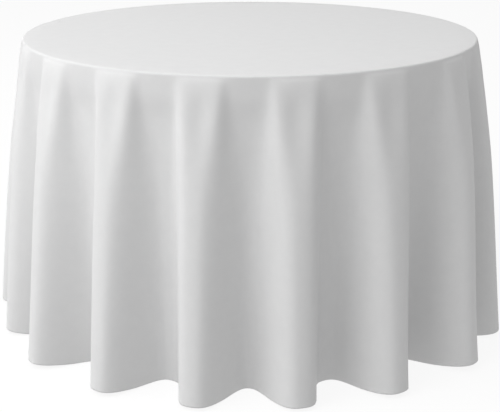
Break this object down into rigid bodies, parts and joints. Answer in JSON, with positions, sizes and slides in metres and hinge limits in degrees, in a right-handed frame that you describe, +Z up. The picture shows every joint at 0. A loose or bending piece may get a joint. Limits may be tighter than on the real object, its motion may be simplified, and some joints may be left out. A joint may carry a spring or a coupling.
{
  "type": "tablecloth on a table",
  "caption": "Floor-length round cloth draped in soft flutes over a round folding table with two fold-in leg sets and folding braces.",
  "frame": {"origin": "on the floor, on the axis of the round table, at the middle of the bounding box's base", "axes": "+Z up; +X towards leg set a; the picture's view looks along +Y"},
  "size_m": [1.4636, 1.4636, 0.7633],
  "materials": {
    "cloth": "matte",
    "thread": "satin",
    "label": "satin",
    "plywood": "satin",
    "runner_wood": "matte",
    "vinyl": "satin",
    "leg_paint": "satin",
    "link_steel": "satin",
    "zinc_bracket": "satin",
    "zinc_screw": "satin",
    "rivet_steel": "satin",
    "foot_rubber": "matte"
  },
  "bodies": {
    "table": {"table_panel": "plywood", "edge_moulding": "vinyl", "centre_runner": "runner_wood", "bracket_screws": "zinc_screw", "batten_screws": "zinc_screw", "edge_batten_1": "runner_wood", "edge_batten_2": "runner_wood", "edge_batten_3": "runner_wood", "edge_batten_4": "runner_wood", "edge_batten_5": "runner_wood", "edge_batten_6": "runner_wood", "edge_batten_7": "runner_wood", "edge_batten_8": "runner_wood", "cross_runner_a": "runner_wood", "hinge_bracket_a_left": "zinc_bracket", "hinge_bracket_a_right": "zinc_bracket", "brace_bracket_a": "zinc_bracket", "brace_pivot_a": "rivet_steel", "cross_runner_b": "runner_wood", "hinge_bracket_b_left": "zinc_bracket", "hinge_bracket_b_right": "zinc_bracket", "brace_bracket_b": "zinc_bracket", "brace_pivot_b": "rivet_steel"},
    "leg_set_a": {"hinge_tube_a": "leg_paint", "crossbar_a": "leg_paint", "brace_collars_a": "zinc_bracket", "leg_a_left": "leg_paint", "leg_a_right": "leg_paint", "foot_cap_a_left": "foot_rubber", "foot_cap_a_right": "foot_rubber"},
    "brace_upper_a": {"brace_upper_link_a": "link_steel", "knee_rivet_upper_a": "rivet_steel"},
    "brace_lower_a": {"brace_lower_link_a": "link_steel", "knee_rivet_lower_a": "rivet_steel"},
    "leg_set_b": {"hinge_tube_b": "leg_paint", "crossbar_b": "leg_paint", "brace_collars_b": "zinc_bracket", "leg_b_left": "leg_paint", "leg_b_right": "leg_paint", "foot_cap_b_left": "foot_rubber", "foot_cap_b_right": "foot_rubber"},
    "brace_upper_b": {"brace_upper_link_b": "link_steel", "knee_rivet_upper_b": "rivet_steel"},
    "brace_lower_b": {"brace_lower_link_b": "link_steel", "knee_rivet_lower_b": "rivet_steel"},
    "cloth": {"cloth_panel": "cloth", "cloth_hem": "cloth", "hem_thread": "thread", "care_label": "label"}
  },
  "joints": [
    {"name": "leg_set_a_fold", "type": "hinge", "parent": "table", "child": "leg_set_a", "pos_m": [0.33, 0, 0.7], "axis": [0, 1, 0], "range_deg": [0, 92.05]},
    {"name": "brace_upper_a_turn", "type": "hinge", "parent": "table", "child": "brace_upper_a", "pos_m": [0.075, 0, 0.7], "axis": [0, -1, 0], "range_deg": [0, 48.46]},
    {"name": "brace_lower_a_turn", "type": "hinge", "parent": "leg_set_a", "child": "brace_lower_a", "pos_m": [0.34071, 0, 0.40019], "axis": [0, 1, 0], "range_deg": [0, 39.51]},
    {"name": "leg_set_b_fold", "type": "hinge", "parent": "table", "child": "leg_set_b", "pos_m": [-0.33, 0, 0.662], "axis": [0, -1, 0], "range_deg": [0, 92.16]},
    {"name": "brace_upper_b_turn", "type": "hinge", "parent": "table", "child": "brace_upper_b", "pos_m": [-0.075, 0, 0.662], "axis": [0, 1, 0], "range_deg": [0, 48.39]},
    {"name": "brace_lower_b_turn", "type": "hinge", "parent": "leg_set_b", "child": "brace_lower_b", "pos_m": [-0.34132, 0, 0.36221], "axis": [0, -1, 0], "range_deg": [0, 39.46]},
    {"name": "cloth_lift", "type": "slide", "parent": "table", "child": "cloth", "axis": [0, 0, 1], "range_m": [0, 0.8]}
  ],
  "couplings": [
    {"joint": "brace_upper_a_turn", "follows": "leg_set_a_fold", "ratio": 0.52638},
    {"joint": "brace_lower_a_turn", "follows": "leg_set_a_fold", "ratio": 0.42918},
    {"joint": "brace_upper_b_turn", "follows": "leg_set_b_fold", "ratio": 0.52497},
    {"joint": "brace_lower_b_turn", "follows": "leg_set_b_fold", "ratio": 0.42809}
  ]
}
